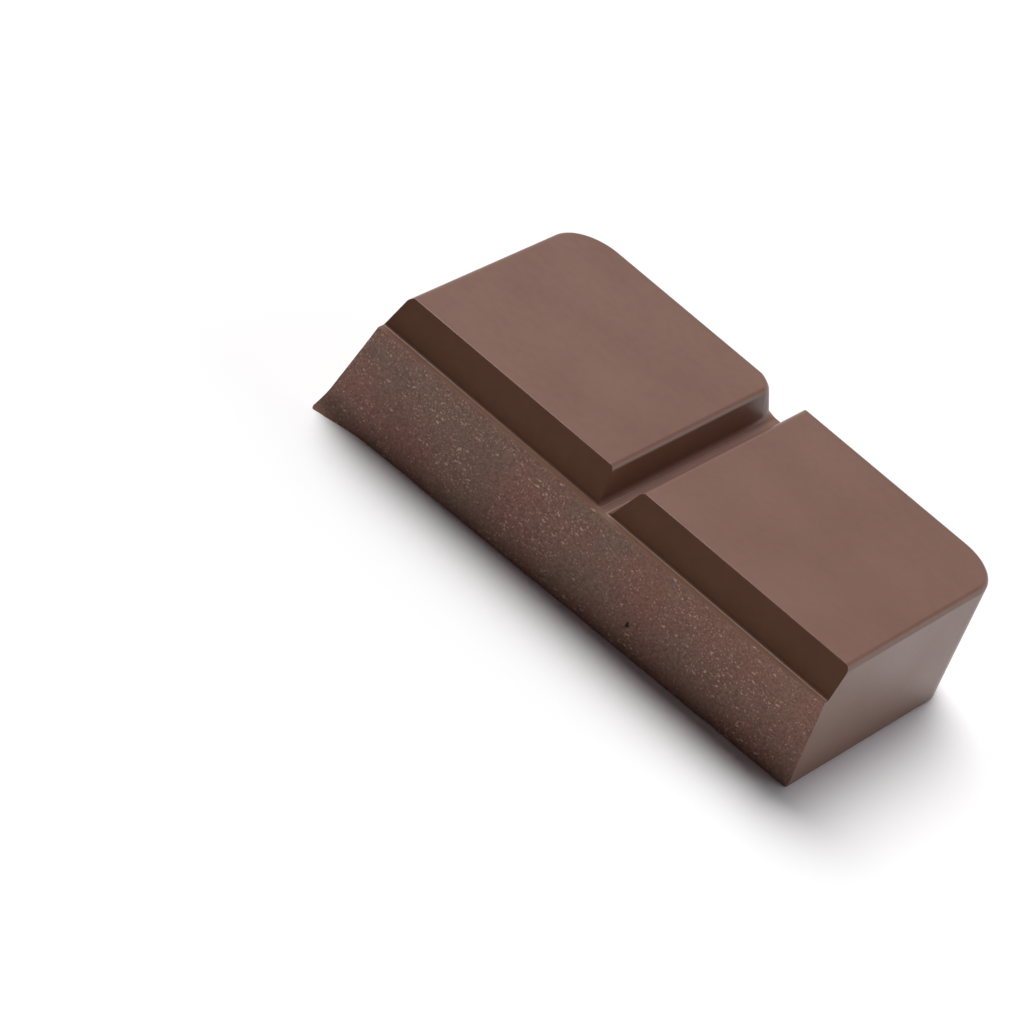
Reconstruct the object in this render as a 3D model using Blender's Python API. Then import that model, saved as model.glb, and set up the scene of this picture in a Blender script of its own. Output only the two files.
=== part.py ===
"""The end row of a thick dark chocolate tablet, snapped off: two squares side by side.

The tablet was cast in a mould, so its sides lean in, its outer corners are round and a groove
runs between the squares. The front isn't moulded. It is the broken face that was left when the
row was snapped off along the groove in front of it. Metres, +Z up, +X along the two squares, and
the broken face looks towards -Y. The origin is the middle of the base.
"""

import math
from collections import namedtuple

import bmesh
import bpy
from mathutils import Vector, noise

# Driving sizes of the moulding
LENGTH = 0.0600  # over both squares, at the flat base
HEIGHT = 0.0142
SQUARE_LENGTH = 0.02665  # flat top of one square, along X
SQUARE_DEPTH = 0.03286  # flat top of one square, along Y
SIDE_DRAFT = 0.00145  # how far an outer side leans in over the whole height
OUTER_CORNER_RADIUS = 0.0052  # the tablet's own round corners, seen from above, at the top
LEFT_INNER_CORNER_RADIUS = 0.0029  # the left square's corner where the groove leaves at the back
RIGHT_INNER_CORNER_RADIUS = 0.0008
FLARE = 6.0  # how much squarer an inner corner is at its foot than at the top, as a power
FLARE_MARGIN = 0.00015  # by which its foot passes the back wall
CORNER_CORE = 0.0001  # kept between a corner's cutter and its own axis
CORNER_CLEAR = 0.00001  # by which it starts off the groove's own side, so that no faces coincide
RIM_STRETCH = 1.5  # how much further its squared rim reaches to the back than across
RIM_SHARE = 0.99  # of the way to the rim, which its floor keeps to
TOP_EDGE_RADIUS = 0.0007
BASE_EDGE_RADIUS = 0.00035
OUTER_CORNER_SEGMENTS = 10
INNER_CORNER_SEGMENTS = 8
TOP_EDGE_SEGMENTS = 6
BASE_EDGE_SEGMENTS = 2

# Grooves, each with a narrow flat bottom
FLOOR_HEIGHT = 0.01076  # chocolate left under a groove
FRONT_HALF_WIDTH = 0.00276  # from the middle of the front groove to the squares' front edge
FRONT_FLOOR_HALF_WIDTH = 0.00075
FRONT_FOOT_RADIUS = 0.0004  # between the bottom and a side
FRONT_LIP_RADIUS = 0.00015
MIDDLE_FLOOR_HALF_WIDTH = 0.00025
MIDDLE_FOOT_RADIUS = 0.00075
MIDDLE_LIP_RADIUS = 0.00075
LIP_SEGMENTS = 4
FOOT_SEGMENTS = 4

# Broken face, measured from the middle line of the front groove, towards +Y where positive
BREAK_TOP = 0.00008
BREAK_TOP_LEFT_END = -0.0002  # added at the left end, and fades over BREAK_TOP_LEFT_FADE
BREAK_TOP_LEFT_FADE = 0.0060
BREAK_TOP_RIGHT_END = 0.0005
BREAK_TOP_RIGHT_FADE = 0.0025
BREAK_BASE_LEFT = -0.00074
BREAK_BASE_RIGHT = 0.00154
SPUR_REACH = 0.0015  # a small spur that stayed on at the lower left corner
SPUR_LENGTH = 0.0076
SPUR_HEIGHT = 0.0025
SPUR_TAPER_ALONG = 1.5  # powers by which it thins out, along the row and upwards
SPUR_TAPER_UP = 2.0
COARSE_RELIEF = (0.00016, 0.0060, 3.1)  # height and size of the bumps, and their pattern's seed
FINE_RELIEF = (0.00007, 0.0022, 8.7)
BREAK_CELL = 0.00085
BREAK_LATEST = 0.0020  # the face never reaches further into the piece than this

# Working allowances, so that no cutter shares a face with what it cuts
STOCK = 0.0060  # chocolate in front of the front groove, which the break takes away
CLEARANCE = 0.0020
TOLERANCE = 0.00001  # two places closer than this are the same
WELD = 0.000001

# Look of the plain solid
CHOCOLATE_COLOUR = (0.068, 0.031, 0.022, 1.0)
CHOCOLATE_ROUGHNESS = 0.42
SHARP_ANGLE = math.radians(30)

TOP_HALF_LENGTH = LENGTH / 2 - SIDE_DRAFT
MIDDLE_HALF_WIDTH = TOP_HALF_LENGTH - SQUARE_LENGTH
SQUARE_BACK = FRONT_HALF_WIDTH + SQUARE_DEPTH
BASE_BACK = SQUARE_BACK + SIDE_DRAFT

Groove = namedtuple("Groove", "half_width floor_half_width foot_radius lip_radius")
FRONT = Groove(FRONT_HALF_WIDTH, FRONT_FLOOR_HALF_WIDTH, FRONT_FOOT_RADIUS, FRONT_LIP_RADIUS)
MIDDLE = Groove(MIDDLE_HALF_WIDTH, MIDDLE_FLOOR_HALF_WIDTH, MIDDLE_FOOT_RADIUS, MIDDLE_LIP_RADIUS)


def clear_scene():
    for obj in list(bpy.data.objects):
        bpy.data.objects.remove(obj, do_unlink=True)


def add_collection(name, hidden=False):
    collection = bpy.data.collections.new(name)
    collection.hide_render = hidden
    bpy.context.scene.collection.children.link(collection)
    return collection


def add_object(name, bm, collection):
    """A mesh object from a bmesh, with its faces turned outwards."""
    bmesh.ops.recalc_face_normals(bm, faces=bm.faces)
    mesh = bpy.data.meshes.new(name)
    bm.to_mesh(mesh)
    bm.free()
    obj = bpy.data.objects.new(name, mesh)
    collection.objects.link(obj)
    return obj


def round_edges(bm, edges, radius, segments):
    bmesh.ops.bevel(
        bm,
        geom=edges,
        offset=radius,
        offset_type="OFFSET",
        segments=segments,
        profile=0.5,
        affect="EDGES",
        clamp_overlap=True,
        material=-1,
    )


# The cast block before the grooves


def make_block(collection):
    """The tablet's end row with plain top, leaning sides and round corners, and stock in front."""
    bm = bmesh.new()
    bmesh.ops.create_cube(bm, size=1.0)
    for vert in bm.verts:
        vert.co.x = math.copysign(TOP_HALF_LENGTH, vert.co.x)
        vert.co.y = SQUARE_BACK if vert.co.y > 0 else -STOCK
        vert.co.z = HEIGHT if vert.co.z > 0 else 0.0
    corners = [edge for edge in bm.edges if is_back_corner(edge)]
    round_edges(bm, corners, OUTER_CORNER_RADIUS, OUTER_CORNER_SEGMENTS)
    for vert in bm.verts:
        if vert.co.z < HEIGHT / 2:
            vert.co += SIDE_DRAFT * outwards(vert.co)
    round_edges(bm, outline_edges(bm, HEIGHT), TOP_EDGE_RADIUS, TOP_EDGE_SEGMENTS)
    round_edges(bm, outline_edges(bm, 0.0), BASE_EDGE_RADIUS, BASE_EDGE_SEGMENTS)
    return add_object("chocolate_piece", bm, collection)


def is_back_corner(edge):
    a, b = (vert.co for vert in edge.verts)
    upright = abs(a.z - b.z) > HEIGHT / 2
    return upright and min(a.y, b.y) > 0


def outwards(point):
    """The level direction in which a side or a round corner faces at a point of the top's outline."""
    inner_x = TOP_HALF_LENGTH - OUTER_CORNER_RADIUS
    inner_y = SQUARE_BACK - OUTER_CORNER_RADIUS
    across = point.x - min(max(point.x, -inner_x), inner_x)
    along = max(point.y - inner_y, 0.0)
    return Vector((across, along, 0)).normalized()


def outline_edges(bm, height):
    """The edges round the top or the base, without the one in front, which the break removes."""
    edges = []
    for edge in bm.edges:
        at_height = all(abs(vert.co.z - height) < TOLERANCE for vert in edge.verts)
        in_front = all(vert.co.y < -STOCK + TOLERANCE for vert in edge.verts)
        if at_height and not in_front:
            edges.append(edge)
    return edges


# Grooves, as cutters


def slope_angle(groove):
    """The angle of a groove's side above the level, so that it runs from its lip to its foot arc."""
    run = groove.half_width - groove.floor_half_width
    rise = HEIGHT - FLOOR_HEIGHT - groove.foot_radius
    return math.asin(groove.foot_radius / math.hypot(run, rise)) + math.atan2(rise, run)


def groove_side(groove):
    """One side of a groove's section as (distance from its middle, height), from above the lip down."""
    angle = slope_angle(groove)
    lip_start = groove.half_width + groove.lip_radius * math.tan(angle / 2)
    points = []
    for i in range(LIP_SEGMENTS + 1):
        turn = angle * i / LIP_SEGMENTS
        points.append((
            lip_start - groove.lip_radius * math.sin(turn),
            HEIGHT - groove.lip_radius + groove.lip_radius * math.cos(turn),
        ))
    for i in range(FOOT_SEGMENTS, -1, -1):
        turn = angle * i / FOOT_SEGMENTS
        points.append((
            groove.floor_half_width + groove.foot_radius * math.sin(turn),
            FLOOR_HEIGHT + groove.foot_radius - groove.foot_radius * math.cos(turn),
        ))
    # The first step of the lip is carried on above the top, so that the cut crosses it cleanly.
    run = points[0][0] - points[1][0]
    climb = points[0][1] - points[1][1]
    carried = (points[0][0] + 2 * run, points[0][1] + 2 * climb)
    return [(carried[0], HEIGHT + CLEARANCE), carried] + points


def face_from_section(bm, section, place):
    verts = [bm.verts.new(place(across, height)) for across, height in section]
    return bm.faces.new(verts)


def sweep(bm, face, offset):
    """Pulls a section face along an offset into a closed prism."""
    made = bmesh.ops.extrude_face_region(bm, geom=[face], use_keep_orig=True)
    moved = [item for item in made["geom"] if isinstance(item, bmesh.types.BMVert)]
    bmesh.ops.translate(bm, verts=moved, vec=offset)


def full_section(groove):
    side = groove_side(groove)
    return side + [(-across, height) for across, height in reversed(side)]


def make_middle_groove(collection):
    """The groove between the two squares, along Y."""
    bm = bmesh.new()
    start = -STOCK - CLEARANCE
    section = full_section(MIDDLE)
    face = face_from_section(bm, section, lambda across, height: (across, start, height))
    sweep(bm, face, Vector((0, BASE_BACK + CLEARANCE - start, 0)))
    return add_object("middle_groove_cutter", bm, collection)


def make_front_groove(collection):
    """The groove that the row was snapped off along, along X."""
    bm = bmesh.new()
    start = -LENGTH / 2 - CLEARANCE
    section = full_section(FRONT)
    face = face_from_section(bm, section, lambda across, height: (start, across, height))
    sweep(bm, face, Vector((-2 * start, 0, 0)))
    return add_object("front_groove_cutter", bm, collection)


def foot_reach(across, along, reach_across, reach_along):
    """How far a corner's squarish foot reaches in a level direction, from the middle of its arc."""
    share = abs(across / reach_across) ** FLARE + abs(along / reach_along) ** FLARE
    return share ** (-1 / FLARE)


def make_inner_corner(collection, name, side, radius):
    """Rounds a square's corner where the middle groove leaves at the back.

    Half of the groove's own section is spun a quarter turn about the middle of the corner's arc. Its
    side then flares out, because the corner is squarer at its foot than at the top.
    """
    centre = Vector((side * (MIDDLE_HALF_WIDTH - CORNER_CLEAR + radius), SQUARE_BACK - radius, 0))
    groove_run = (HEIGHT - FLOOR_HEIGHT) / math.tan(slope_angle(MIDDLE))
    wall_run = SIDE_DRAFT * (HEIGHT - FLOOR_HEIGHT) / HEIGHT + FLARE_MARGIN
    bm = bmesh.new()
    middle = radius + MIDDLE_HALF_WIDTH
    rim = middle - MIDDLE_FLOOR_HALF_WIDTH / 2
    ring = [(max(middle - across, CORNER_CORE), height) for across, height in groove_side(MIDDLE)]
    ring += [(rim, FLOOR_HEIGHT), (rim, HEIGHT + CLEARANCE)]
    face = face_from_section(bm, ring, lambda out, height: (out, 0, height))
    bmesh.ops.spin(
        bm,
        geom=[face] + list(face.edges) + list(face.verts),
        cent=(0, 0, 0),
        axis=(0, 0, 1),
        angle=math.pi / 2,
        steps=INNER_CORNER_SEGMENTS,
        use_duplicate=False,
    )
    for vert in bm.verts:
        out = math.hypot(vert.co.x, vert.co.y)
        across, along = vert.co.x / out, vert.co.y / out
        # The rim is squared off, to clear all the chocolate beyond the corner.
        square = 1 / max(across / rim, along / (rim * RIM_STRETCH))
        foot = foot_reach(across, along, radius + groove_run, radius + wall_run)
        reach = out
        if out > rim - TOLERANCE:
            reach = square
        elif out > radius:
            reach = min(radius + (out - radius) * (foot - radius) / groove_run, square * RIM_SHARE)
        vert.co = centre + Vector((-side * across * reach, along * reach, vert.co.z))
    bmesh.ops.remove_doubles(bm, verts=bm.verts, dist=WELD)
    return add_object(name, bm, collection)


def make_left_corner(collection):
    return make_inner_corner(collection, "left_corner_cutter", -1, LEFT_INNER_CORNER_RADIUS)


def make_right_corner(collection):
    return make_inner_corner(collection, "right_corner_cutter", 1, RIGHT_INNER_CORNER_RADIUS)


# The break


def relief(x, z, bumps):
    height, size, seed = bumps
    return height * noise.noise(Vector((x / size, z / size, seed)))


def break_depth(x, z):
    """Where the broken face lies along Y, at a place along the row and a height."""
    from_left = x + LENGTH / 2
    from_right = LENGTH / 2 - x
    up = min(max(z / FLOOR_HEIGHT, 0.0), 1.0)
    top = BREAK_TOP
    top += BREAK_TOP_LEFT_END * math.exp(-max(from_left, 0) / BREAK_TOP_LEFT_FADE)
    top += BREAK_TOP_RIGHT_END * math.exp(-max(from_right, 0) / BREAK_TOP_RIGHT_FADE)
    base = BREAK_BASE_LEFT + (BREAK_BASE_RIGHT - BREAK_BASE_LEFT) * from_left / LENGTH
    along = max(0.0, 1 - max(from_left, 0) / SPUR_LENGTH)
    low = max(0.0, 1 - max(z, 0) / SPUR_HEIGHT)
    spur = SPUR_REACH * along**SPUR_TAPER_ALONG * low**SPUR_TAPER_UP
    rough = relief(x, z, COARSE_RELIEF) + relief(x, z, FINE_RELIEF)
    return min(base + (top - base) * up - spur + rough, BREAK_LATEST)


def make_break(collection):
    """Everything in front of the broken face, as a block whose back is the uneven face."""
    bm = bmesh.new()
    width = LENGTH + 2 * CLEARANCE
    low, high = -CLEARANCE, FLOOR_HEIGHT + CLEARANCE
    columns = round(width / BREAK_CELL)
    rows = round((high - low) / BREAK_CELL)
    bmesh.ops.create_grid(bm, x_segments=columns, y_segments=rows, size=0.5)
    for vert in bm.verts:
        x = vert.co.x * width
        z = low + (vert.co.y + 0.5) * (high - low)
        at_top = vert.co.y > 0.5 - 0.5 / rows
        vert.co = (x, break_depth(x, z), HEIGHT + CLEARANCE if at_top else z)
    made = bmesh.ops.extrude_face_region(bm, geom=list(bm.faces), use_keep_orig=True)
    for item in made["geom"]:
        if isinstance(item, bmesh.types.BMVert):
            item.co.y = -STOCK - CLEARANCE
    return add_object("break_cutter", bm, collection)


# Putting it together


def cut(obj, cutter):
    cutter.hide_render = True
    cutter.display_type = "WIRE"
    modifier = obj.modifiers.new(cutter.name, "BOOLEAN")
    modifier.operation = "DIFFERENCE"
    modifier.solver = "EXACT"
    modifier.object = cutter


def apply_cuts(obj):
    """Keeps the cut shape as the object's own mesh, with its base centred on the origin."""
    graph = bpy.context.evaluated_depsgraph_get()
    mesh = bpy.data.meshes.new_from_object(obj.evaluated_get(graph))
    obj.modifiers.clear()
    obj.data = mesh
    bm = bmesh.new()
    bm.from_mesh(mesh)
    low = Vector([min(vert.co[axis] for vert in bm.verts) for axis in range(3)])
    high = Vector([max(vert.co[axis] for vert in bm.verts) for axis in range(3)])
    middle = (low + high) / 2
    bmesh.ops.translate(bm, verts=bm.verts, vec=(-middle.x, -middle.y, -low.z))
    bmesh.ops.triangulate(bm, faces=bm.faces)
    bm.to_mesh(mesh)
    bm.free()


def dark_chocolate():
    """Set dark chocolate: deep brown, with the soft shine of a moulded face."""
    material = bpy.data.materials.new("dark_chocolate")
    material.use_nodes = True
    shader = material.node_tree.nodes["Principled BSDF"]
    shader.inputs["Base Color"].default_value = CHOCOLATE_COLOUR
    shader.inputs["Roughness"].default_value = CHOCOLATE_ROUGHNESS
    shader.inputs["Metallic"].default_value = 0.0
    return material


def main():
    clear_scene()
    parts = add_collection("chocolate_bar_piece")
    cutters = add_collection("cutters", hidden=True)
    piece = make_block(parts)
    for make_cutter in (
        make_front_groove,
        make_middle_groove,
        make_left_corner,
        make_right_corner,
        make_break,
    ):
        cut(piece, make_cutter(cutters))
    apply_cuts(piece)
    piece.data.materials.append(dark_chocolate())
    piece.data.set_sharp_from_angle(angle=SHARP_ANGLE)


main()
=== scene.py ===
# %% [markdown]
# # A snapped row of dark chocolate
#
# The object is the end row of a thick chocolate tablet: two squares side by side, snapped off along a
# groove. Tempered chocolate is poured into a mould, sets, shrinks a little and drops out upside down, so
# every face that touched the mould is smooth with a soft shine, leans in for the release, and has round
# edges. The one face that never touched the mould is the break, which is matt and grainy. That contrast
# between moulded and broken chocolate is what this scene is about.
#
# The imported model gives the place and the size. This scene builds the same form again with finer edges and
# a finer break, and gives it two materials.

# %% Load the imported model
import math
from collections import namedtuple

import bmesh
import bpy
from mathutils import Matrix, Vector, noise


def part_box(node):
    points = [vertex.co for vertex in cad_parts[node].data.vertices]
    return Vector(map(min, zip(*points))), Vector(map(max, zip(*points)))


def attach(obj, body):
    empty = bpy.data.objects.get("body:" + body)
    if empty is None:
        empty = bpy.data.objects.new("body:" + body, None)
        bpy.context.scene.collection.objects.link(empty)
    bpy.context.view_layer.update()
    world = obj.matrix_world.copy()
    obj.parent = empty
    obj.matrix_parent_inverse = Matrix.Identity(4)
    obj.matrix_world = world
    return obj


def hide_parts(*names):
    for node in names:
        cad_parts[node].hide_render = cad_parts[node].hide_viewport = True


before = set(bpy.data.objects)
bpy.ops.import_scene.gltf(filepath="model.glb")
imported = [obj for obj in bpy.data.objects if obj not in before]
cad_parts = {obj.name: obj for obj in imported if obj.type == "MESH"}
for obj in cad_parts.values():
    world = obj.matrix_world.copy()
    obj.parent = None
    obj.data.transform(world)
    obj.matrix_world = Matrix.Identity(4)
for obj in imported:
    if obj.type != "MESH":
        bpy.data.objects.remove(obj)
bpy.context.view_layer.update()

piece_low, piece_high = (Vector(corner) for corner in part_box("chocolate_piece"))
print("packed piece, mm:", [round(1000 * side, 1) for side in piece_high - piece_low])

# %% [markdown]
# ## Sizes
#
# A moulded bar is easy to describe with a few numbers: the flat top of a square, how far the sides lean, the
# width and depth of a groove, and a radius for each kind of edge. They are named once here, in metres, so
# that a change in one place moves everything that depends on it. The origin of these sizes is the middle
# line of the groove that the row was snapped along, and `row_shift` moves the finished shape from there to
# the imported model's place.

# %% Name the sizes of the moulding
LENGTH = 0.0600  # over both squares, at the flat base
HEIGHT = 0.0142
SQUARE_LENGTH = 0.02665  # flat top of one square
SQUARE_DEPTH = 0.03286
SIDE_DRAFT = 0.00145  # how far a side leans in over the height
OUTER_CORNER_RADIUS = 0.0052
LEFT_INNER_CORNER_RADIUS = 0.0029
RIGHT_INNER_CORNER_RADIUS = 0.0008
FLARE = 6.0  # how much squarer an inner corner is at its foot than at the top, as a power
FLARE_MARGIN = 0.00015  # by which its foot passes the back wall
CORNER_CORE = 0.0001  # kept between a corner's cutter and its own axis
CORNER_CLEAR = 0.00001  # by which it starts off the groove's own side, so that no faces coincide
RIM_STRETCH = 1.5  # how much further its squared rim reaches to the back than across
RIM_SHARE = 0.99  # of the way to the rim, which its floor keeps to
TOP_EDGE_RADIUS = 0.0007
BASE_EDGE_RADIUS = 0.00035

FLOOR_HEIGHT = 0.01076  # chocolate left under a groove
FRONT_HALF_WIDTH = 0.00276
FRONT_FLOOR_HALF_WIDTH = 0.00075
FRONT_FOOT_RADIUS = 0.0004  # between a groove's bottom and its side
FRONT_LIP_RADIUS = 0.00015
MIDDLE_FLOOR_HALF_WIDTH = 0.00025
MIDDLE_FOOT_RADIUS = 0.00075
MIDDLE_LIP_RADIUS = 0.00075

STOCK = 0.0060  # in front of the front groove, for the break to take away
CLEARANCE = 0.0020  # by which a cutter reaches past what it cuts
TOLERANCE = 0.00001

TOP_HALF_LENGTH = LENGTH / 2 - SIDE_DRAFT
MIDDLE_HALF_WIDTH = TOP_HALF_LENGTH - SQUARE_LENGTH
SQUARE_BACK = FRONT_HALF_WIDTH + SQUARE_DEPTH
BASE_BACK = SQUARE_BACK + SIDE_DRAFT

Groove = namedtuple("Groove", "half_width floor_half_width foot_radius lip_radius")
FRONT = Groove(FRONT_HALF_WIDTH, FRONT_FLOOR_HALF_WIDTH, FRONT_FOOT_RADIUS, FRONT_LIP_RADIUS)
MIDDLE = Groove(MIDDLE_HALF_WIDTH, MIDDLE_FLOOR_HALF_WIDTH, MIDDLE_FOOT_RADIUS, MIDDLE_LIP_RADIUS)

row_shift = Vector((0, piece_high.y - BASE_BACK, 0))
print("middle groove, mm:", round(2000 * MIDDLE_HALF_WIDTH, 2), " shift, mm:", round(1000 * row_shift.y, 2))

# %% [markdown]
# ## Camera
#
# The piece was photographed from far away through a long lens, so its parallel edges stay almost parallel.
# A long lens is set by its focal length on a 36 mm wide sensor. The camera's place, the point it looks at
# and its roll about the line of sight describe the view completely, and each is a number that is easy to
# read. The roll is large because the photographed piece leans, while this one lies flat.

# %% Place the camera
CAMERA_LENS_MM = 237.81
CAMERA_SENSOR_MM = 36.0
CAMERA_PLACE = Vector((0.16413, -0.55249, 0.33910))
CAMERA_AIM = Vector((-0.011367, -0.005524, -0.003000))
CAMERA_ROLL = math.radians(31.186)

camera_data = bpy.data.cameras.new("camera")
camera_data.lens = CAMERA_LENS_MM
camera_data.sensor_width = CAMERA_SENSOR_MM
camera = bpy.data.objects.new("camera", camera_data)
aimed = (CAMERA_PLACE - CAMERA_AIM).to_track_quat("Z", "Y").to_matrix().to_4x4()
camera.matrix_world = Matrix.Translation(CAMERA_PLACE) @ aimed @ Matrix.Rotation(CAMERA_ROLL, 4, "Z")
bpy.context.scene.collection.objects.link(camera)
bpy.context.scene.camera = camera
print("camera distance, mm:", round(1000 * (CAMERA_PLACE - CAMERA_AIM).length))

# %% [markdown]
# ## The cast block
#
# Without its grooves the row is a block with round back corners whose sides lean in. A cube gives the six
# faces. Bevelling its two upright back edges gives the round corners, and moving only the lower ring of
# points outwards gives every side, the round corners too, the same lean. The top and base edges are then
# bevelled on their own, because a mould's rim is tighter than the corners of the bar.


# %% Write the helpers for meshes
def finish_mesh(name, bm):
    bmesh.ops.recalc_face_normals(bm, faces=bm.faces)
    mesh = bpy.data.meshes.new(name)
    bm.to_mesh(mesh)
    bm.free()
    made = bpy.data.objects.new(name, mesh)
    bpy.context.scene.collection.objects.link(made)
    print(name, "has", len(mesh.polygons), "faces")
    return made


def round_off(bm, geom, offset, segments, affect="EDGES"):
    bmesh.ops.bevel(
        bm, geom=geom, offset=offset, offset_type="OFFSET", segments=segments,
        profile=0.5, affect=affect, clamp_overlap=True, material=-1,
    )


# %% Make the block
CORNER_SEGMENTS = 32
TOP_EDGE_SEGMENTS = 12
BASE_EDGE_SEGMENTS = 6


def outwards(point):
    """The level direction in which a side or a round corner faces, at a point of the top's outline."""
    inner_x = TOP_HALF_LENGTH - OUTER_CORNER_RADIUS
    across = point.x - min(max(point.x, -inner_x), inner_x)
    along = max(point.y - (SQUARE_BACK - OUTER_CORNER_RADIUS), 0.0)
    return Vector((across, along, 0)).normalized()


def rim_at(bm, height):
    """The edges of the top or the base, without the one in front, which the break takes away."""
    level = [edge for edge in bm.edges if all(abs(v.co.z - height) < TOLERANCE for v in edge.verts)]
    return [edge for edge in level if any(v.co.y > TOLERANCE - STOCK for v in edge.verts)]


block_mesh = bmesh.new()
bmesh.ops.create_cube(block_mesh, size=1.0)
for vert in block_mesh.verts:
    vert.co.x = math.copysign(TOP_HALF_LENGTH, vert.co.x)
    vert.co.y = SQUARE_BACK if vert.co.y > 0 else -STOCK
    vert.co.z = HEIGHT if vert.co.z > 0 else 0.0
back_corners = [
    edge for edge in block_mesh.edges
    if all(v.co.y > 0 for v in edge.verts) and abs(edge.verts[0].co.z - edge.verts[1].co.z) > TOLERANCE
]
round_off(block_mesh, back_corners, OUTER_CORNER_RADIUS, CORNER_SEGMENTS)
for vert in block_mesh.verts:
    if vert.co.z < TOLERANCE:
        vert.co += SIDE_DRAFT * outwards(vert.co)
round_off(block_mesh, rim_at(block_mesh, HEIGHT), TOP_EDGE_RADIUS, TOP_EDGE_SEGMENTS)
round_off(block_mesh, rim_at(block_mesh, 0.0), BASE_EDGE_RADIUS, BASE_EDGE_SEGMENTS)
chocolate = finish_mesh("chocolate_row", block_mesh)

# %% [markdown]
# ## The grooves
#
# A groove in a bar has leaning sides, a narrow flat bottom, and round lips and feet, so that the mould
# releases and the bar snaps there. Its section starts as a flat face with eight corners. A vertex bevel
# rounds the two lips and the two feet, which is the same tool as an edge bevel but works on a flat outline.
# For an arc of a given radius the bevel's offset is the radius times the tangent of half the turn. Pulling
# the section along makes the cutter. Beyond the lips its shoulders rise a hair above the top, so that the
# cut never runs along an existing face.


# %% Shape the section of a groove
LIP_RISE = 0.00002  # from the top up to a cutter's shoulder
GROOVE_SEGMENTS = 8  # in each lip and foot


def slope_angle(groove):
    """The angle of a groove's side above the level, tangent to the arc of its foot."""
    run = groove.half_width - groove.floor_half_width
    rise = HEIGHT - FLOOR_HEIGHT - groove.foot_radius
    return math.asin(groove.foot_radius / math.hypot(run, rise)) + math.atan2(rise, run)


def half_section(groove):
    """The corners of one half, as (distance from the middle, height): lid, shoulder, lip and foot."""
    foot = groove.half_width - (HEIGHT - FLOOR_HEIGHT) / math.tan(slope_angle(groove))
    outer = groove.half_width + groove.lip_radius + CLEARANCE
    lid = HEIGHT + CLEARANCE
    return [(outer, lid), (outer, HEIGHT + LIP_RISE), (groove.half_width, HEIGHT), (foot, FLOOR_HEIGHT)]


def round_section(bm, groove, lips, feet):
    turn = math.tan(slope_angle(groove) / 2)
    round_off(bm, lips, groove.lip_radius * turn, GROOVE_SEGMENTS, affect="VERTICES")
    round_off(bm, feet, groove.foot_radius * turn, GROOVE_SEGMENTS, affect="VERTICES")


def groove_section(bm, groove, place):
    half = half_section(groove)
    other = [(-across, height) for across, height in reversed(half)]
    corners = [bm.verts.new(place(*point)) for point in half + other]
    bm.faces.new(corners)
    round_section(bm, groove, [corners[2], corners[5]], [corners[3], corners[4]])
    return bm.faces[:]


def pull(bm, faces, along):
    """Pulls a flat section along into a closed bar."""
    pulled = bmesh.ops.extrude_face_region(bm, geom=faces, use_keep_orig=True)
    ends = [part for part in pulled["geom"] if isinstance(part, bmesh.types.BMVert)]
    bmesh.ops.translate(bm, verts=ends, vec=along)


slopes = [round(math.degrees(slope_angle(groove)), 1) for groove in (FRONT, MIDDLE)]
print("slope of the front and the middle groove, degrees:", slopes)

# %% Make the two straight groove cutters
front_mesh = bmesh.new()
front_start = -LENGTH / 2 - CLEARANCE
section = groove_section(front_mesh, FRONT, lambda across, height: (front_start, across, height))
pull(front_mesh, section, Vector((-2 * front_start, 0, 0)))
front_groove = finish_mesh("front_groove_cutter", front_mesh)

middle_mesh = bmesh.new()
middle_start = -STOCK - CLEARANCE
section = groove_section(middle_mesh, MIDDLE, lambda across, height: (across, middle_start, height))
pull(middle_mesh, section, Vector((0, BASE_BACK + CLEARANCE - middle_start, 0)))
middle_groove = finish_mesh("middle_groove_cutter", middle_mesh)

# %% [markdown]
# ## The round inner corners
#
# Where the middle groove runs out at the back, the left square's corner is round, the right square's is
# nearly sharp, and the groove's slope follows each of them round. Half of the groove's section, spun a
# quarter turn about the centre of the corner, cuts exactly that: `bmesh.ops.spin` is made for turned
# shapes. The real corner is squarer at its foot than at the top, so its slope flares out. The spun points
# are moved outwards to a foot outline with the equation of a superellipse, which lies between a circle and
# a square. The rim of the spun piece is squared off, so that it clears everything beyond the corner.


# %% Spin the corner cutters
QUARTER_TURN_STEPS = 32


def foot_reach(across, along, reach_across, reach_along):
    """How far the squarish foot reaches in a level direction, from the middle of the corner's arc."""
    return (abs(across / reach_across) ** FLARE + abs(along / reach_along) ** FLARE) ** (-1 / FLARE)


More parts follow.
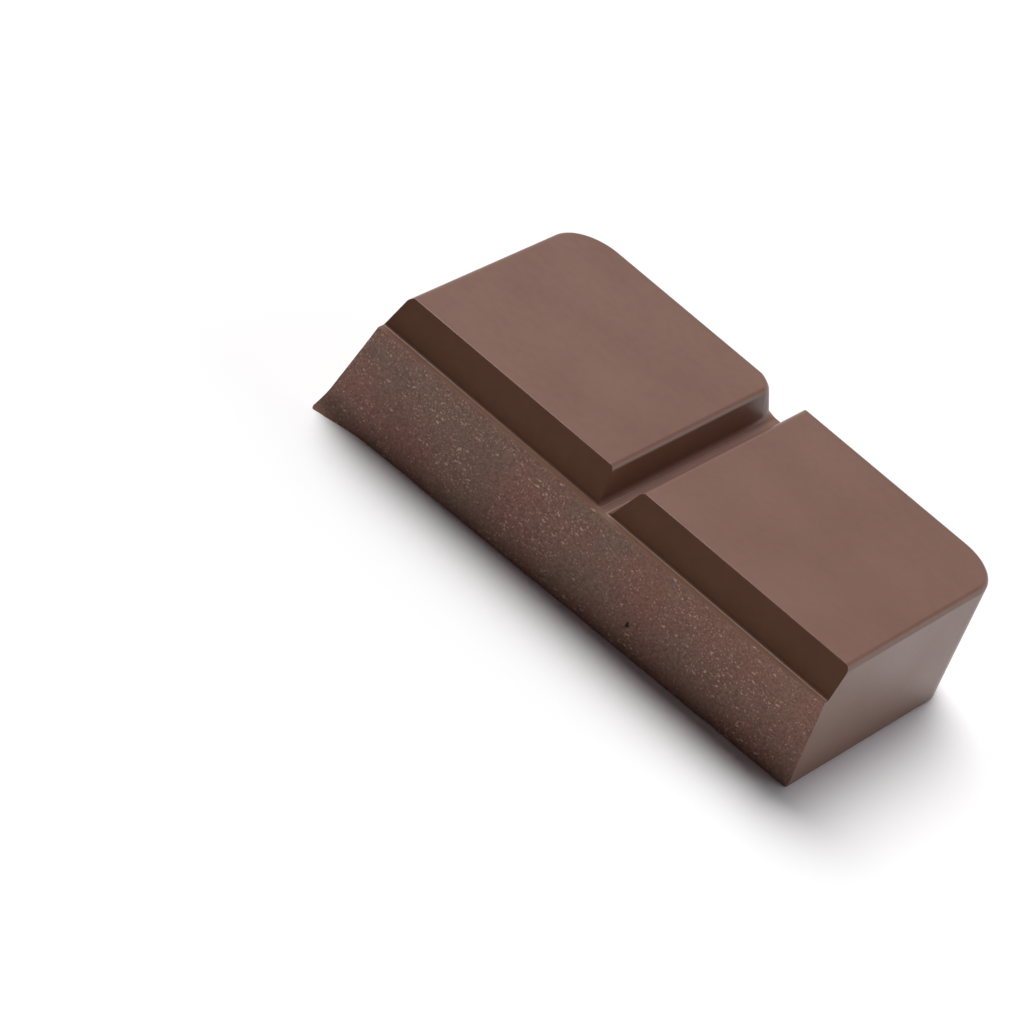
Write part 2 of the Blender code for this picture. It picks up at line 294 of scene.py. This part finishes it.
def corner_cutter(name, side, radius):
    bm = bmesh.new()
    middle = radius + MIDDLE_HALF_WIDTH
    rim = middle - MIDDLE_FLOOR_HALF_WIDTH / 2
    outline = [(max(middle - across, CORNER_CORE), height) for across, height in half_section(MIDDLE)]
    outline += [(rim, FLOOR_HEIGHT), (rim, HEIGHT + CLEARANCE)]
    corners = [bm.verts.new((out, 0, height)) for out, height in outline]
    bm.faces.new(corners)
    round_section(bm, MIDDLE, [corners[2]], [corners[3]])
    bmesh.ops.spin(
        bm, geom=bm.verts[:] + bm.edges[:] + bm.faces[:],
        cent=(0, 0, 0), axis=(0, 0, 1), angle=math.pi / 2, steps=QUARTER_TURN_STEPS,
        use_duplicate=False,
    )
    groove_run = (HEIGHT - FLOOR_HEIGHT) / math.tan(slope_angle(MIDDLE))
    wall_run = SIDE_DRAFT * (HEIGHT - FLOOR_HEIGHT) / HEIGHT + FLARE_MARGIN
    centre = Vector((side * (MIDDLE_HALF_WIDTH - CORNER_CLEAR + radius), SQUARE_BACK - radius, 0))
    for vert in bm.verts:
        out = math.hypot(vert.co.x, vert.co.y)
        across, along = vert.co.x / out, vert.co.y / out
        square = 1 / max(across / rim, along / (rim * RIM_STRETCH))
        foot = foot_reach(across, along, radius + groove_run, radius + wall_run)
        reach = out
        if out > rim - TOLERANCE:
            reach = square
        elif out > radius:
            reach = min(radius + (out - radius) * (foot - radius) / groove_run, square * RIM_SHARE)
        vert.co = centre + Vector((-side * across * reach, along * reach, vert.co.z))
    return finish_mesh(name, bm)


left_corner = corner_cutter("left_corner_cutter", -1, LEFT_INNER_CORNER_RADIUS)
right_corner = corner_cutter("right_corner_cutter", 1, RIGHT_INNER_CORNER_RADIUS)

# %% [markdown]
# ## The break
#
# Tempered chocolate snaps almost straight through, and the break keeps long shallow waves, a fine grain of
# cocoa and sugar, and here a small spur at the lower left. A grid of small cells takes its depth from a
# function of place: the line of the break at the top and at the base, plus noise of several sizes. The grid
# becomes the back of a block that cuts away everything in front of it. Its cells are 0.2 mm, fine enough
# for the grain to catch the light as real relief and not only as a painted bump.

# %% Work out where the break lies
BREAK_TOP = 0.00008  # along Y, at the groove's bottom and away from both ends
BREAK_TOP_LEFT_END = -0.0002  # added at the left end,
BREAK_TOP_LEFT_FADE = 0.0060  # and fading over this length
BREAK_TOP_RIGHT_END = 0.0005
BREAK_TOP_RIGHT_FADE = 0.0025
BREAK_BASE_LEFT = -0.00074  # along the base it runs straight, from here
BREAK_BASE_RIGHT = 0.00154  # to here
SPUR_REACH = 0.0015  # out of the break, at the left end of the base
SPUR_LENGTH = 0.0076
SPUR_HEIGHT = 0.0025
SPUR_TAPER_ALONG = 1.5  # as a power, so that the spur ends in a thin tip
SPUR_TAPER_UP = 2.0
WAVES = (0.00016, 0.0060, 3.1)  # height and size of the bumps, and their pattern's seed
RIPPLES = (0.00007, 0.0022, 8.7)
GRAIN = (0.00003, 0.0007, 5.2)
CRUMB = (0.000018, 0.00035, 1.9)
BREAK_CELL = 0.0002
BREAK_LATEST = 0.0020  # it never lies further back than this


def relief(x, z, bumps):
    height, size, seed = bumps
    return height * noise.noise(Vector((x / size, z / size, seed)))


def break_depth(x, z):
    from_left = x + LENGTH / 2
    from_right = LENGTH / 2 - x
    up = min(max(z / FLOOR_HEIGHT, 0.0), 1.0)
    top = BREAK_TOP
    top += BREAK_TOP_LEFT_END * math.exp(-max(from_left, 0) / BREAK_TOP_LEFT_FADE)
    top += BREAK_TOP_RIGHT_END * math.exp(-max(from_right, 0) / BREAK_TOP_RIGHT_FADE)
    base = BREAK_BASE_LEFT + (BREAK_BASE_RIGHT - BREAK_BASE_LEFT) * from_left / LENGTH
    along = max(0.0, 1 - max(from_left, 0) / SPUR_LENGTH)
    low = max(0.0, 1 - max(z, 0) / SPUR_HEIGHT)
    spur = SPUR_REACH * along**SPUR_TAPER_ALONG * low**SPUR_TAPER_UP
    rough = sum(relief(x, z, bumps) for bumps in (WAVES, RIPPLES, GRAIN, CRUMB))
    return min(base + (top - base) * up - spur + rough, BREAK_LATEST)


for where, at_height in (("groove's bottom", FLOOR_HEIGHT), ("base", 0.0)):
    depths = [round(1000 * break_depth(x, at_height), 2) for x in (-LENGTH / 2, 0.0, LENGTH / 2)]
    print("break at the left end, middle and right end of the", where, "in mm:", depths)

# %% Make the break cutter
break_mesh = bmesh.new()
break_width = LENGTH + 2 * CLEARANCE
break_low, break_high = -CLEARANCE, FLOOR_HEIGHT + CLEARANCE
break_columns = round(break_width / BREAK_CELL)
break_rows = round((break_high - break_low) / BREAK_CELL)
bmesh.ops.create_grid(break_mesh, x_segments=break_columns, y_segments=break_rows, size=0.5)
for vert in break_mesh.verts:
    x = vert.co.x * break_width
    z = break_low + (vert.co.y + 0.5) * (break_high - break_low)
    at_top = vert.co.y > 0.5 - 0.5 / break_rows
    vert.co = (x, break_depth(x, z), HEIGHT + CLEARANCE if at_top else z)
outline = [edge for edge in break_mesh.edges if edge.is_boundary]
pulled = bmesh.ops.extrude_edge_only(break_mesh, edges=outline)
for part in pulled["geom"]:
    if isinstance(part, bmesh.types.BMVert):
        part.co.y = -STOCK - CLEARANCE
bmesh.ops.holes_fill(break_mesh, edges=[edge for edge in break_mesh.edges if edge.is_boundary], sides=0)
break_block = finish_mesh("break_cutter", break_mesh)

# %% [markdown]
# ## A helper for materials
#
# A procedural material is a small network of nodes. One helper adds a node, sets its properties and fills
# its inputs, each with a number or with another node's output, so that a material reads from top to bottom
# like a recipe. Inputs go by name, or by number where a node has several of the same name: a colour Mix
# takes its amount at 0 and its two colours at 6 and 7. A plain list fills them from the first on: Map Range
# takes its value, the two values that it runs between, and the two that it gives for them. Colours are
# written as they look on a screen, in hex, and turned to the linear values that the renderer counts in.


# %% Write the helper
def linear(hex_colour):
    """A colour such as #80665a as linear red, green, blue and alpha, by the sRGB curve."""
    values = [int(hex_colour[i:i + 2], 16) / 255 for i in (1, 3, 5)]
    return tuple(v / 12.92 if v <= 0.04045 else ((v + 0.055) / 1.055) ** 2.4 for v in values) + (1.0,)


def add_node(tree, kind, inputs=(), **settings):
    node = tree.nodes.new(kind)
    for name, value in settings.items():
        setattr(node, name, value)
    for socket, source in inputs.items() if isinstance(inputs, dict) else enumerate(inputs):
        if isinstance(source, bpy.types.NodeSocket):
            tree.links.new(source, node.inputs[socket])
        else:
            node.inputs[socket].default_value = source
    return node


def new_material(name):
    material = bpy.data.materials.new(name)
    material.use_nodes = True
    shader = material.node_tree.nodes["Principled BSDF"]
    return material, material.node_tree, shader


print("a screen's middle grey in linear light:", round(linear("#808080")[0], 3))

# %% [markdown]
# ## Moulded chocolate
#
# Dark chocolate cast against a smooth mould: cocoa butter sets to a skin with a soft shine, about as glossy
# as satin paint, and its index of refraction is near 1.46. Light enters it a little, so it looks deep brown
# and never black. Its colour clouds slightly from place to place where the butter set faster or slower, and
# the skin has a barely visible orange peel. So the base colour drifts between two close browns over a
# centimetre with a finer mottle on top, the roughness drifts with it, and two bumps of a few micrometres
# break up the reflections.

# %% Colour the moulded chocolate
moulded, tree, shader = new_material("dark_chocolate_moulded")
CLOUD_SIZE = 0.011
CLOUD_COLOURS = (linear("#6b4b3b"), linear("#765341"))
MOTTLE_SIZE = 0.0011
MOTTLE_SHADES = (0.96, 1.04)
NOISE_SPAN = (0.3, 0.7)  # nearly all values of a noise lie in it
place = add_node(tree, "ShaderNodeTexCoord").outputs["Object"]
cloud = add_node(tree, "ShaderNodeTexNoise", {
    "Vector": place, "Scale": 1 / CLOUD_SIZE, "Detail": 3.0,
}).outputs[0]
mottle = add_node(tree, "ShaderNodeTexNoise", {
    "Vector": place, "Scale": 1 / MOTTLE_SIZE, "Detail": 4.0,
}).outputs[0]
clouded = add_node(tree, "ShaderNodeMix", {
    0: cloud, 6: CLOUD_COLOURS[0], 7: CLOUD_COLOURS[1],
}, data_type="RGBA").outputs[2]
shade = add_node(tree, "ShaderNodeMapRange", (mottle, *NOISE_SPAN, *MOTTLE_SHADES)).outputs[0]
browned = add_node(tree, "ShaderNodeVectorMath", {0: clouded, 3: shade}, operation="SCALE").outputs[0]
tree.links.new(browned, shader.inputs["Base Color"])
print(moulded.name, "nodes for the colour:", len(tree.nodes))

# %% Give the moulded chocolate its shine and skin
SATIN_ROUGHNESS = (0.28, 0.36)
COCOA_BUTTER_IOR = 1.46
SKIN_SPECULAR = 0.25
PEEL_SIZE = 0.0028
PEEL_HEIGHT = 0.000012
MOTTLE_HEIGHT = 0.000004
satin = add_node(tree, "ShaderNodeMapRange", (cloud, *NOISE_SPAN, *SATIN_ROUGHNESS)).outputs[0]
tree.links.new(satin, shader.inputs["Roughness"])
shader.inputs["IOR"].default_value = COCOA_BUTTER_IOR
shader.inputs["Specular IOR Level"].default_value = SKIN_SPECULAR
peel = add_node(tree, "ShaderNodeTexNoise", {
    "Vector": place, "Scale": 1 / PEEL_SIZE, "Detail": 2.0,
}).outputs[0]
peel_bump = add_node(tree, "ShaderNodeBump", {
    "Height": peel, "Strength": 1.0, "Distance": PEEL_HEIGHT,
}).outputs[0]
skin_bump = add_node(tree, "ShaderNodeBump", {
    "Height": mottle, "Strength": 1.0, "Distance": MOTTLE_HEIGHT, "Normal": peel_bump,
}).outputs[0]
tree.links.new(skin_bump, shader.inputs["Normal"])
print(moulded.name, "nodes:", len(tree.nodes))

# %% [markdown]
# ## Snapped chocolate
#
# The same chocolate where it broke: no butter skin, so it is matt, and the break runs round particles of
# sugar and cocoa about 20 micrometres across. Small chips lift off and catch the light as pale tan flecks,
# and a few air bubbles leave pits, which are painted dark as painted shade in their hollows. The ground is a
# brown that drifts between reddish and olive over half a centimetre, with a faint grain. Three layers of
# Voronoi cells give the flecks: fine dust almost everywhere, drawn about ten times coarser than real
# particles so that it still shows, and larger slivers and chips, turned two ways, that keep to clusters. A
# cell is kept when its random value passes a threshold that a wide noise moves. Near the base the break is
# painted a little warmer and lighter, in patches: painted light that lifts the shade the floor throws there.

# %% Mix the ground of the break, with painted light near the base
snapped, tree, shader = new_material("dark_chocolate_snapped")
GRAIN_SIZE = 0.00028
DRIFT_SIZE = 0.0055
REDDISH = linear("#8c6254")
OLIVE = linear("#846757")
# painted light: a warmer, lighter colour near the base that lifts the floor's shade there
WARM_PAINTED_LIGHT = linear("#a5765c")
PAINTED_LIGHT_HEIGHT = 0.0006
OLIVE_RAMP = (0.35, 0.65, 0.0, 1.0)
GRAIN_RAMP = (0.38, 0.62, 0.76, 1.26)
PAINTED_LIGHT_PATCH_RAMP = (0.4, 0.6, 0.3, 0.8)
PAINTED_LIGHT_RAMP = (PAINTED_LIGHT_HEIGHT, 0.0, 0.0, 1.0)
place = add_node(tree, "ShaderNodeTexCoord").outputs["Object"]
grain = add_node(tree, "ShaderNodeTexNoise", {
    "Vector": place, "Scale": 1 / GRAIN_SIZE, "Detail": 4.0, "Roughness": 0.7,
}).outputs[0]
drift = add_node(tree, "ShaderNodeTexNoise", {
    "Vector": place, "Scale": 1 / DRIFT_SIZE, "Detail": 3.0,
}).outputs[0]
olive_share = add_node(tree, "ShaderNodeMapRange", (drift, *OLIVE_RAMP)).outputs[0]
ground = add_node(tree, "ShaderNodeMix", {
    0: olive_share, 6: REDDISH, 7: OLIVE,
}, data_type="RGBA").outputs[2]
shade = add_node(tree, "ShaderNodeMapRange", (grain, *GRAIN_RAMP)).outputs[0]
grained = add_node(tree, "ShaderNodeVectorMath", {0: ground, 3: shade}, operation="SCALE").outputs[0]
# painted light: how strongly the painted light shows, in random patches
painted_light_patches = add_node(tree, "ShaderNodeMapRange", (drift, *PAINTED_LIGHT_PATCH_RAMP)).outputs[0]
painted_light_colour = add_node(tree, "ShaderNodeMix", {
    0: painted_light_patches, 6: grained, 7: WARM_PAINTED_LIGHT,
}, data_type="RGBA").outputs[2]
# painted light: full at the base of the break, fading out a little way up
height = add_node(tree, "ShaderNodeSeparateXYZ", {0: place}).outputs[2]
painted_light_share = add_node(tree, "ShaderNodeMapRange", (height, *PAINTED_LIGHT_RAMP)).outputs[0]
with_painted_light = add_node(tree, "ShaderNodeMix", {
    0: painted_light_share, 6: grained, 7: painted_light_colour,
}, data_type="RGBA").outputs[2]
print(snapped.name, "nodes for the ground:", len(tree.nodes))

# %% Shape a layer of flecks
FRAYING = 1.5  # waves in the width of a cell, of the noise that frays the outlines
FLECK_CORE = 0.6  # share of a fleck's radius inside its soft edge


def specks(spacing, seed, kept_from, radius, stretch=1.0, turn=0.0):
    """A mask of small marks: the middles of those Voronoi cells whose random value passes `kept_from`."""
    laid = add_node(tree, "ShaderNodeMapping", {
        "Vector": place, "Location": (seed, seed, seed),
        "Rotation": (0, turn, 0), "Scale": (1.0, 1.0, stretch),
    }).outputs[0]
    wobble = add_node(tree, "ShaderNodeTexNoise", {
        "Vector": place, "Scale": FRAYING / spacing, "Detail": 3.0,
    }).outputs[1]
    shift = add_node(tree, "ShaderNodeVectorMath", {0: wobble, 3: spacing}, operation="SCALE").outputs[0]
    bent = add_node(tree, "ShaderNodeVectorMath", (laid, shift), operation="ADD").outputs[0]
    cells = add_node(tree, "ShaderNodeTexVoronoi", {"Vector": bent, "Scale": 1 / spacing})
    luck = add_node(tree, "ShaderNodeSeparateColor", {0: cells.outputs["Color"]}).outputs[0]
    kept = add_node(tree, "ShaderNodeMath", (luck, kept_from), operation="GREATER_THAN").outputs[0]
    edge = (radius, radius * FLECK_CORE, 0.0, 1.0)
    spot = add_node(tree, "ShaderNodeMapRange", (cells.outputs["Distance"], *edge)).outputs[0]
    return add_node(tree, "ShaderNodeMath", (spot, kept), operation="MULTIPLY").outputs[0]


# %% Scatter the flecks, and the pits painted dark as shade
CLUSTER_SIZE = 0.0040
DUST_SPACING = 0.0003
SLIVER_SPACING = 0.0009
PIT_SPACING = 0.0042
DUST_RAMP = (0.38, 0.60, 0.80, 0.40)
SLIVER_RAMP = (0.46, 0.64, 0.96, 0.60)
PITS_KEPT_FROM = 0.86
crowd = add_node(tree, "ShaderNodeTexNoise", {
    "Vector": place, "Scale": 1 / CLUSTER_SIZE, "Detail": 2.0,
}).outputs[0]
dusty = add_node(tree, "ShaderNodeMapRange", (crowd, *DUST_RAMP)).outputs[0]
crowded = add_node(tree, "ShaderNodeMapRange", (crowd, *SLIVER_RAMP)).outputs[0]
dust = specks(DUST_SPACING, seed=0.0, kept_from=dusty, radius=0.36)
slivers = specks(
    SLIVER_SPACING, seed=3.7, kept_from=crowded, radius=0.27, stretch=1.9, turn=math.radians(35),
)
chips = specks(
    SLIVER_SPACING, seed=7.9, kept_from=crowded, radius=0.25, stretch=1.6, turn=math.radians(-50),
)
pits_with_painted_shade = specks(PIT_SPACING, seed=1.3, kept_from=PITS_KEPT_FROM, radius=0.06)
colour = with_painted_light
# the pits' dark colour is painted shade in these hollows; their dent is real relief from a bump below
for mask, tint in ((dust, "#b9907f"), (chips, "#c39a86"), (slivers, "#cfa590"), (pits_with_painted_shade, "#2c1712")):
    colour = add_node(tree, "ShaderNodeMix", {
        0: mask, 6: colour, 7: linear(tint),
    }, data_type="RGBA").outputs[2]
tree.links.new(colour, shader.inputs["Base Color"])
print(snapped.name, "nodes with the flecks:", len(tree.nodes))

# %% Give the break its matt surface and fine relief
MATT_ROUGHNESS = 0.62
GRAIN_HEIGHT = 0.00003
SLIVER_HEIGHT = 0.00004
PIT_DEPTH = 0.00012
shader.inputs["Roughness"].default_value = MATT_ROUGHNESS
shader.inputs["IOR"].default_value = COCOA_BUTTER_IOR
grain_bump = add_node(tree, "ShaderNodeBump", {
    "Height": grain, "Strength": 1.0, "Distance": GRAIN_HEIGHT,
}).outputs[0]
sliver_bump = add_node(tree, "ShaderNodeBump", {
    "Height": slivers, "Strength": 1.0, "Distance": SLIVER_HEIGHT, "Normal": grain_bump,
}).outputs[0]
pit_bump = add_node(tree, "ShaderNodeBump", {
    "Height": pits_with_painted_shade, "Strength": 1.0, "Distance": PIT_DEPTH, "Normal": sliver_bump,
}, invert=True).outputs[0]
tree.links.new(pit_bump, shader.inputs["Normal"])
print(snapped.name, "nodes:", len(tree.nodes))

# %% [markdown]
# ## Cut the row out
#
# A Boolean takes each cutter away from the block, in the order in which the real thing came about: the
# mould's grooves first, the break last. A Boolean can carry the cutter's own material onto the faces that it
# makes, so the break comes out in snapped chocolate with a crisp border, and the moulded faces keep theirs.
# The result is kept as a plain mesh. Weighted normals let the large flat faces stay flat in the light while
# the narrow round edges shade smoothly.

# %% Apply the cuts
chocolate.data.materials.append(moulded)
moulds = (front_groove, middle_groove, left_corner, right_corner)
for cutter, surface in [(mould, moulded) for mould in moulds] + [(break_block, snapped)]:
    cutter.data.materials.append(surface)
    cut = chocolate.modifiers.new(cutter.name, "BOOLEAN")
    cut.operation = "DIFFERENCE"
    cut.solver = "EXACT"
    cut.material_mode = "TRANSFER"
    cut.object = cutter
graph = bpy.context.evaluated_depsgraph_get()
cut_mesh = bpy.data.meshes.new_from_object(chocolate.evaluated_get(graph))
chocolate.modifiers.clear()
chocolate.data = cut_mesh
for cutter in moulds + (break_block,):
    bpy.data.objects.remove(cutter, do_unlink=True)
print("cut out:", len(cut_mesh.polygons), "faces")

# %% Clean and shade the row
WELD_DISTANCE = 0.0000005
SHARP_ANGLE = math.radians(35)
row_mesh = bmesh.new()
row_mesh.from_mesh(cut_mesh)
bmesh.ops.remove_doubles(row_mesh, verts=row_mesh.verts, dist=WELD_DISTANCE)
bmesh.ops.translate(row_mesh, verts=row_mesh.verts, vec=row_shift)
bmesh.ops.triangulate(row_mesh, faces=[face for face in row_mesh.faces if len(face.verts) > 4])
for face in row_mesh.faces:
    face.smooth = True
open_edges = [edge for edge in row_mesh.edges if not edge.is_manifold]
row_mesh.to_mesh(cut_mesh)
row_mesh.free()
cut_mesh.set_sharp_from_angle(angle=SHARP_ANGLE)
weighted = chocolate.modifiers.new("weighted_normals", "WEIGHTED_NORMAL")
weighted.mode = "FACE_AREA"
weighted.keep_sharp = True
print("row:", len(cut_mesh.polygons), "faces, open edges:", len(open_edges),
      "materials:", [m.name for m in cut_mesh.materials])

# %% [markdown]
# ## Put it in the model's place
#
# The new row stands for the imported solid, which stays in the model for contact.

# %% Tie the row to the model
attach(chocolate, "root")
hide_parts("chocolate_piece")
print(chocolate.name, "stands for chocolate_piece")

# %% [markdown]
# ## Floor and light
#
# Product photographs of sweets are taken on a white table in a bright room: a large soft light above and
# behind gives the top its even tone, the white table throws light back onto the sides, and the dark studio
# behind the camera leaves the faces that turn to it deep brown. A wide white floor and a world that is
# bright behind and dim in front repeat that. The large light is a lamp of the sun kind with a wide angle,
# high behind the left end, because it lights everything evenly and its angle alone sets how soft the
# shadows are. A second, weaker one low behind the right end lifts that end, like a white card beside it.

# %% Lay the floor
FLOOR_SIZE = 16.0
floor_mesh = bmesh.new()
bmesh.ops.create_grid(floor_mesh, x_segments=1, y_segments=1, size=FLOOR_SIZE / 2)
floor = finish_mesh("floor", floor_mesh)
paper, tree, shader = new_material("white_table")
shader.inputs["Base Color"].default_value = linear("#fafaf9")
shader.inputs["Roughness"].default_value = 0.8
shader.inputs["Specular IOR Level"].default_value = 0.2
floor.data.materials.append(paper)

# %% Light the room
BRIGHT_SIDE = Vector((-0.10, 0.99, 0.0)).normalized()
ROOM_DIM = 0.05
ROOM_BRIGHT = 0.9
ROOM_FALLOFF = 6.0  # as a power, so that the brightness keeps to its side
ROOM_TINT = linear("#f6edff")
world = bpy.data.worlds.new("studio")
bpy.context.scene.world = world
world.use_nodes = True
tree = world.node_tree
tree.nodes.clear()
direction = add_node(tree, "ShaderNodeTexCoord").outputs["Generated"]
towards = add_node(tree, "ShaderNodeVectorMath", (direction, BRIGHT_SIDE), operation="DOT_PRODUCT")
facing = add_node(tree, "ShaderNodeMapRange", (towards.outputs["Value"], -1.0, 1.0, 0.0, 1.0)).outputs[0]
curve = add_node(tree, "ShaderNodeMath", (facing, ROOM_FALLOFF), operation="POWER").outputs[0]
room = add_node(tree, "ShaderNodeMapRange", (curve, 0.0, 1.0, ROOM_DIM, ROOM_BRIGHT)).outputs[0]
lit = add_node(tree, "ShaderNodeBackground", {"Color": ROOM_TINT, "Strength": room}).outputs[0]
seen = add_node(tree, "ShaderNodeBackground", {"Color": linear("#ffffff"), "Strength": 1.0}).outputs[0]
camera_ray = add_node(tree, "ShaderNodeLightPath").outputs["Is Camera Ray"]
mixed = add_node(tree, "ShaderNodeMixShader", (camera_ray, lit, seen)).outputs[0]
add_node(tree, "ShaderNodeOutputWorld", {"Surface": mixed})
print("world nodes:", len(tree.nodes))


# %% Hang the two lights
def soft_light(name, direction, strength, degrees):
    """A lamp of the sun kind, which shines from the given direction and is so many degrees wide."""
    lamp_data = bpy.data.lights.new(name, "SUN")
    lamp_data.angle = math.radians(degrees)
    lamp_data.energy = strength
    lamp = bpy.data.objects.new(name, lamp_data)
    lamp.matrix_world = Vector(direction).to_track_quat("Z", "Y").to_matrix().to_4x4()
    bpy.context.scene.collection.objects.link(lamp)
    print(name, "strength:", strength, " width, degrees:", degrees)


soft_light("overhead_light", direction=(-0.42, 0.38, 0.82), strength=3.45, degrees=44)
soft_light("side_card", direction=(0.75, 0.63, 0.20), strength=1.05, degrees=60)
bpy.context.scene.view_settings.view_transform = "Standard"
bpy.context.scene.view_settings.look = "None"
